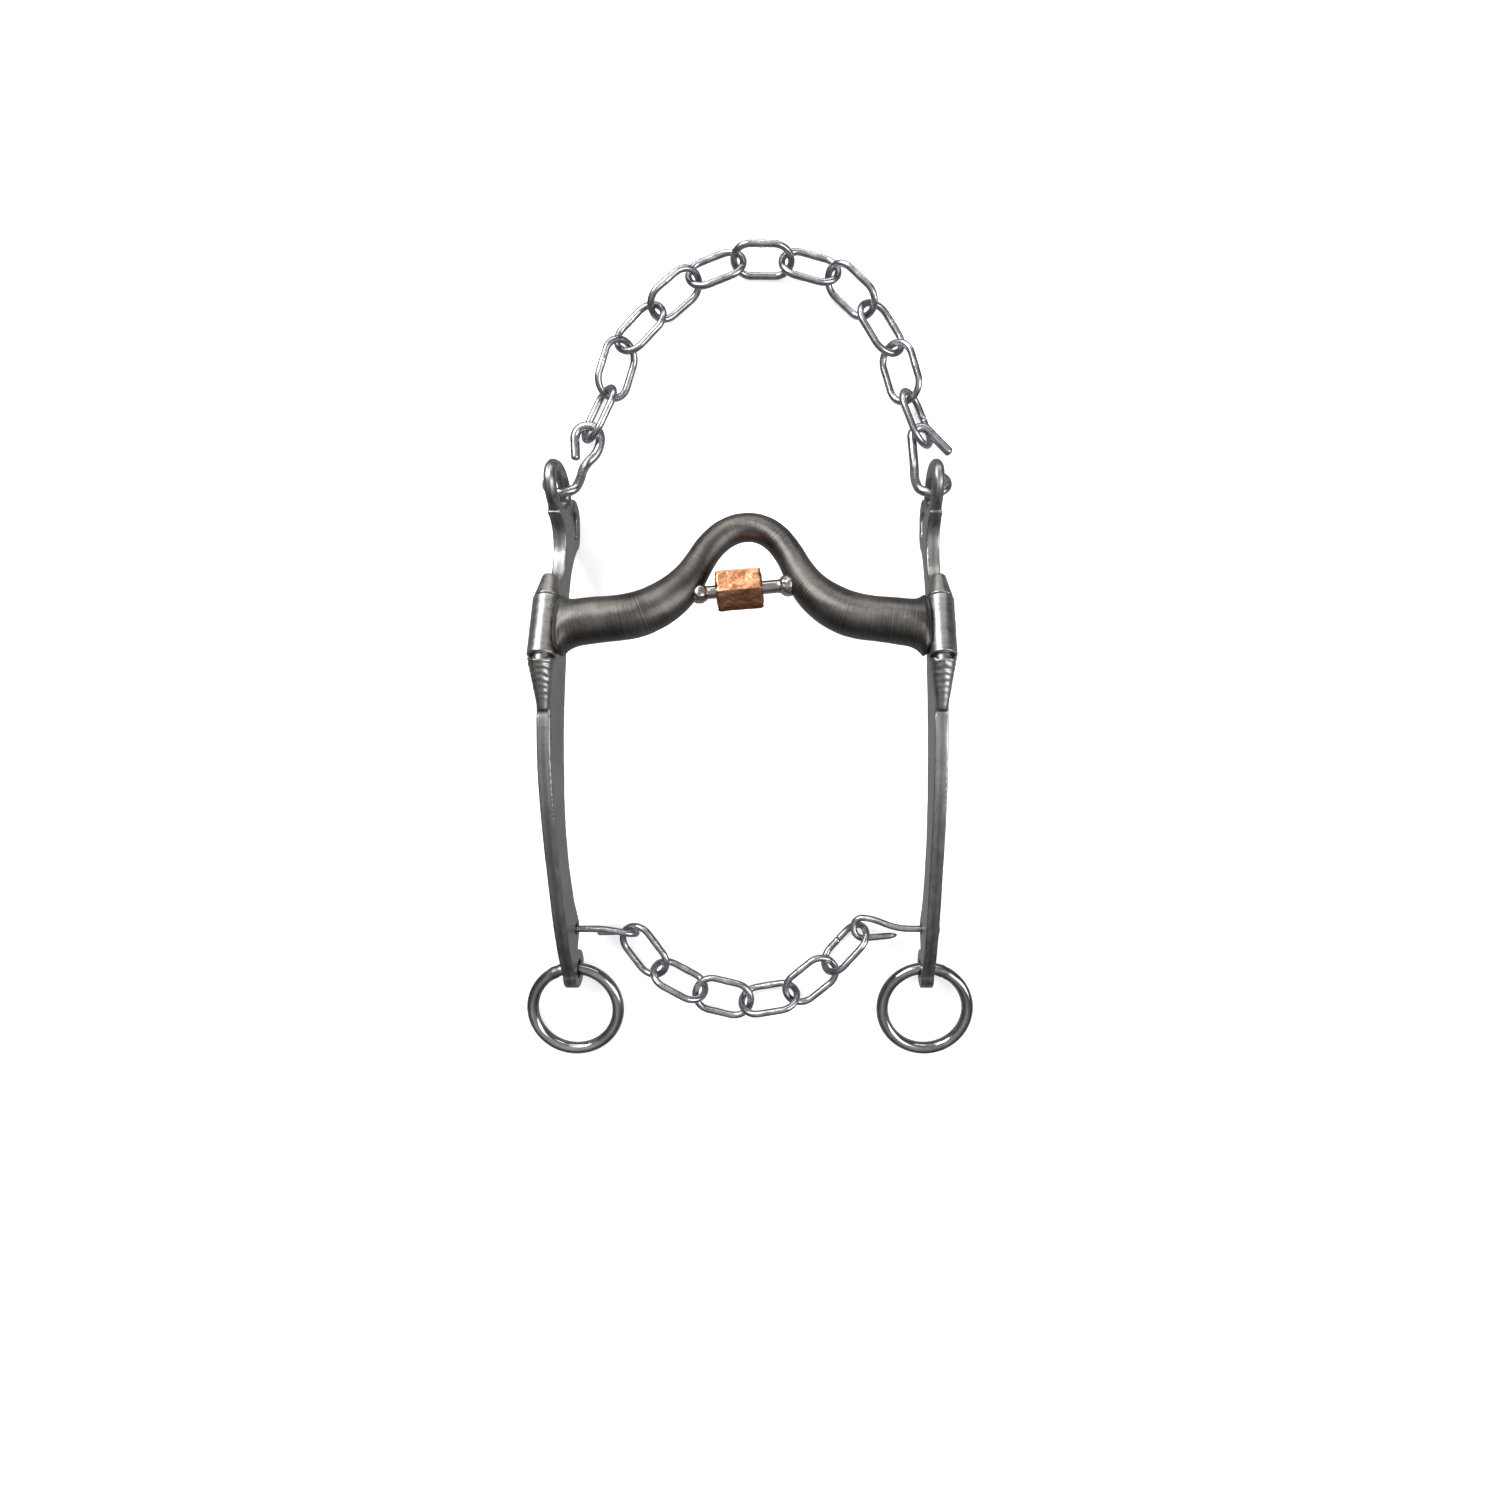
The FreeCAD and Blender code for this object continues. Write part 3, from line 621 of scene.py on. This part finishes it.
def rein_ring(side):
    """A wire ring whose butt weld sits a little round from the rein hole."""
    low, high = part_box(f"rein_ring_{side}")
    hung = joint_at(f"rein_ring_{side}_swing")
    mean = (high.x - low.x - RING_WIRE) / 2
    middle = np.array([hung[0], (low.y + high.y) / 2, (low.z + high.z) / 2])
    toward = unit(hung - middle)
    sideways = np.array([1.0, 0, 0])
    turns = np.arange(160) / 160 * 2 * math.pi
    path = [middle + (toward * math.cos(t) + sideways * math.sin(t)) * mean for t in turns]
    weld_turn = 0.42 * SIDES[side]
    gap = np.angle(np.exp(1j * (turns - weld_turn)))
    radius = RING_WIRE / 2 * (1 + 0.07 * bell(gap, 0.13) - 0.12 * bell(gap - 0.04, 0.035))
    piece = tube(f"rein_ring_{side}_wire", path, radius, RING_SIDES, closed=True)
    rough = np.repeat(bell(gap, 0.16), RING_SIDES)
    push(piece, rough * 0.16 * MM * ripple(vertices_of(piece), 1.1 * MM, 12 + SIDES[side]))
    keep_value(piece, "seam", 0.85 * rough)
    finish_piece(piece, RING, "ring_steel", f"rein_ring_{side}", f"rein_ring_{side}")


# --- hooks and chains -------------------------------------------------------------------------


def rounded_tip(distance, reach):
    """Share of a wire's radius at a distance from its rounded end; reach is in millimetres."""
    return np.sqrt(np.clip(1 - (1 - np.clip(distance / (reach * MM), 0, 1)) ** 2, 0.04, 1))


def wire_hook(name, corners, wire, body, node, tips=(1.0, 1.0)):
    path = rounded_path([np.array(c) for c in corners])
    lengths = np.concatenate([[0], np.cumsum(np.linalg.norm(np.diff(path, axis=0), axis=1))])
    start = rounded_tip(lengths, tips[0])
    end = rounded_tip(lengths[-1] - lengths, tips[1])
    piece = tube(name, path, wire / 2 * start * end, 28)
    push(piece, 0.03 * MM * ripple(vertices_of(piece), 3 * MM, 9))
    blank_values(piece, "seam", "bead")
    finish_piece(piece, ZINC, "hook_wire", body, node)


def curb_hook(side, bends):
    sign = SIDES[side]
    middle = joint_at(f"curb_hook_{side}_lift")
    inward = np.array([-sign, 0.0, 0.0])
    loop = HOOK_EYE / 2
    reach = loop / math.cos(HOOK_STEP / 2)
    corners = []
    for number in range(7):
        angle = math.radians(120) + number * HOOK_STEP
        corners.append(middle + (inward * math.cos(angle) + HOOK_OUT * math.sin(angle)) * reach)
    corners[-1] = middle + inward * loop + HOOK_OUT * 2.0 * MM
    corners += [np.array([sign * (HALF_SPACING - across * MM), middle[1] + up * MM, high * MM])
                for across, up, high in bends]
    wire_hook(f"curb_hook_{side}_wire", corners, CURB_HOOK_WIRE, f"curb_hook_{side}",
              f"curb_hook_{side}")


def tie_hook(side, bends, tip):
    sign = SIDES[side]
    middle = joint_at(f"tie_hook_{side}_lift")
    head_at = PLATE / 2 + HEAD_GAP
    corners = [middle + np.array([sign * (head_at + 0.2 * MM), 0, 0])]
    corners += [np.array([sign * (HALF_SPACING - across * MM), middle[1] + up * MM,
                          middle[2] + high * MM]) for across, up, high in bends]
    wire_hook(f"tie_hook_{side}_wire", corners, TIE_HOOK_WIRE, f"tie_hook_{side}",
              f"tie_hook_{side}", (0.2, tip))
    outs = np.array([0.0, 0.25, 0.6, 1.1, 1.5, 1.52]) * MM
    radii = np.array([2.1, 2.65, 2.8, 2.5, 1.5, 0.4]) * MM
    head = tube(f"tie_hook_{side}_head",
                [middle + np.array([sign * (head_at + o), 0, 0]) for o in outs], radii, 32)
    push(head, 0.08 * MM * ripple(vertices_of(head), 1.5 * MM, 10 + sign))
    blank_values(head, "seam", "bead")
    finish_piece(head, ZINC, "hook_wire", f"tie_hook_{side}")


def link(name, seed):
    """A wire link lying where its CAD link lies, with its butt weld half way down one side."""
    open_weld = name in ("curb_link_11", "tie_link_06")
    points = vertices_of(frame["nodes"][name])
    low, high = points.min(0), points.max(0)
    middle = points.mean(0)
    _, _, axes = np.linalg.svd(points - middle, full_matrices=False)
    middle = (low + high) / 2
    long_way, wide_way = axes[0], axes[1]
    bend, half = (LINK_WIDTH - LINK_WIRE) / 2, (LINK_LENGTH - LINK_WIDTH) / 2
    run = 2 * half
    around = 2 * run + 2 * math.pi * bend
    draw = np.random.default_rng(seed)
    squeeze = draw.uniform(-0.012, 0.012)
    path, radius, seam, bead = [], [], [], []
    for number in range(LINK_POINTS):
        s = around * number / LINK_POINTS
        if s < run:
            u, v = s - half, -bend
        elif s < run + math.pi * bend:
            angle = (s - run) / bend
            u, v = half + bend * math.sin(angle), -bend * math.cos(angle)
        elif s < 2 * run + math.pi * bend:
            u, v = half - (s - run - math.pi * bend), bend
        else:
            angle = (s - 2 * run - math.pi * bend) / bend
            u, v = -half - bend * math.sin(angle), bend * math.cos(angle)
        v *= 1 + squeeze * math.cos(2 * math.pi * s / around)
        path.append(middle + long_way * u + wide_way * v)
        from_weld = s - half
        collar = bell(from_weld, 1.1 * MM)
        groove = bell(from_weld, 0.3 * MM)
        depth = 0.3 if open_weld else 0.05
        radius.append(LINK_WIRE / 2 * (1 + 0.07 * collar - depth * groove))
        seam.append(groove if open_weld else 0.15 * groove)
        bead.append(0.5 * collar)
    piece = tube(f"{name}_wire", path, radius, LINK_SIDES, closed=True)
    push(piece, 0.035 * MM * ripple(vertices_of(piece), 2.5 * MM, seed))
    keep_value(piece, "seam", np.repeat(seam, LINK_SIDES))
    keep_value(piece, "bead", np.repeat(bead, LINK_SIDES))
    finish_piece(piece, ZINC, "chain_wire", name, name)


mouthpiece()
axle()
roller()
for side in SIDES:
    sleeve(side)
    cheek(side)
    rein_ring(side)
CHAIN_HIGH = 6.8
curb_hook("left", [(5.7, 7.4, CHAIN_HIGH + 2.4), (11.4, 14.0, CHAIN_HIGH),
                   (11.4, 22.6, CHAIN_HIGH), (2.0, 22.6, CHAIN_HIGH), (2.4, 10.3, CHAIN_HIGH)])
curb_hook("right", [(5.3, 8.0, CHAIN_HIGH + 2.4), (6.9, 27.9, CHAIN_HIGH),
                    (-8.0, 12.4, CHAIN_HIGH + 1.0)])
tie_hook("left", [(13.0, 0, 0), (23.1, -2.4, -0.2), (23.1, -3.0, -8.8), (8.0, -3.0, -7.6)], 1.0)
tie_hook("right", [(11.0, 0, 0), (20.0, 3.2, -2.6), (26.6, 3.4, -4.0), (26.6, -4.8, -4.0),
                   (10.7, -3.2, -4.0)], 4.0)
for number in range(1, 12):
    link(f"curb_link_{number:02d}", number)
for number in range(1, 7):
    link(f"tie_link_{number:02d}", 20 + number)

# --- stage ------------------------------------------------------------------------------------


def floor():
    mesh = bpy.data.meshes.new("floor")
    reach = 3.0
    mesh.from_pydata([(-reach, -reach, 0), (reach, -reach, 0), (reach, reach, 0),
                      (-reach, reach, 0)], [], [(0, 1, 2, 3)])
    plane = bpy.data.objects.new("floor", mesh)
    bpy.context.scene.collection.objects.link(plane)
    material = bpy.data.materials.new("pale_floor")
    material.use_nodes = True
    surface = material.node_tree.nodes["Principled BSDF"]
    surface.inputs["Base Color"].default_value = (0.93, 0.93, 0.93, 1)
    surface.inputs["Roughness"].default_value = 0.9
    surface.inputs["Specular IOR Level"].default_value = 0.1
    surface.inputs["Emission Color"].default_value = (1, 1, 1, 1)
    surface.inputs["Emission Strength"].default_value = 0.5
    plane.data.materials.append(material)
    plane.location.z = -0.05 * MM
    plane.visible_glossy = False


def area_light(name, place, aim, wide, power):
    data = bpy.data.lights.new(name, "AREA")
    data.shape = "RECTANGLE"
    data.size, data.size_y = wide
    data.energy = power
    lamp = bpy.data.objects.new(name, data)
    lamp.location = place
    lamp.rotation_euler = (Vector(aim) - Vector(place)).to_track_quat("-Z", "Y").to_euler()
    bpy.context.scene.collection.objects.link(lamp)


# How bright the room is, from straight down (about 0.15) through the horizon (about 0.57) to
# overhead (about 1).
ROOM = [(0.08, 0.40), (0.42, 0.30), (0.54, 0.08), (0.70, 0.10), (0.86, 0.26), (1.0, 0.62)]


def world():
    """A room that is dim round the horizon and paler, in uneven patches, overhead."""
    scene_world = bpy.data.worlds.new("studio")
    bpy.context.scene.world = scene_world
    scene_world.use_nodes = True
    tree = scene_world.node_tree
    direction = tree.nodes.new("ShaderNodeTexCoord").outputs["Generated"]
    split = tree.nodes.new("ShaderNodeSeparateXYZ")
    tree.links.new(direction, split.inputs["Vector"])
    patches = tree.nodes.new("ShaderNodeTexNoise")
    patches.inputs["Scale"].default_value = 2.2
    patches.inputs["Detail"].default_value = 1.0
    tree.links.new(direction, patches.inputs["Vector"])
    height = tree.nodes.new("ShaderNodeMath")
    height.operation = "MULTIPLY_ADD"
    tree.links.new(patches.outputs["Fac"], height.inputs[0])
    height.inputs[1].default_value = 0.3
    level = tree.nodes.new("ShaderNodeMapRange")
    level.inputs["From Min"].default_value = -1.0
    tree.links.new(split.outputs["Z"], level.inputs["Value"])
    level.inputs["To Max"].default_value = 0.85
    tree.links.new(level.outputs["Result"], height.inputs[2])
    ramp = tree.nodes.new("ShaderNodeValToRGB")
    tree.links.new(height.outputs[0], ramp.inputs["Fac"])
    stops = ramp.color_ramp.elements
    while len(stops) < len(ROOM):
        stops.new(0.5)
    for stop, (place, grey) in zip(stops, ROOM):
        stop.position = place
        stop.color = (grey, grey, 1.03 * grey, 1)
    background = tree.nodes["Background"]
    tree.links.new(ramp.outputs["Color"], background.inputs["Color"])
    background.inputs["Strength"].default_value = 1.0


SENSOR_WIDTH = 36.0
# The picture's width, focal length and sideways shift, all in the same unit.
PICTURE_WIDTH, FOCAL_LENGTH, PICTURE_SHIFT = 1500, 921, -53


def camera():
    data = bpy.data.cameras.new("camera")
    data.sensor_width = SENSOR_WIDTH
    data.lens = SENSOR_WIDTH * FOCAL_LENGTH / PICTURE_WIDTH
    data.shift_x = PICTURE_SHIFT / PICTURE_WIDTH
    data.clip_start = 0.01
    eye = bpy.data.objects.new("camera", data)
    eye.location = (19.7 * MM, -20.5 * MM, 343.9 * MM)
    eye.rotation_euler = (-0.036, 0, 0)
    bpy.context.scene.collection.objects.link(eye)
    bpy.context.scene.camera = eye


floor()
world()
area_light("key", (-0.5, 0.55, 0.75), (0, 0, 0), (0.5, 0.5), 9.0)
area_light("fill", (0.7, -0.1, 0.6), (0, 0, 0), (0.4, 0.8), 5.0)
area_light("back", (0.0, 0.9, 0.35), (0, 0, 0), (1.2, 0.3), 4.0)
camera()
bpy.context.scene.view_settings.view_transform = "Standard"
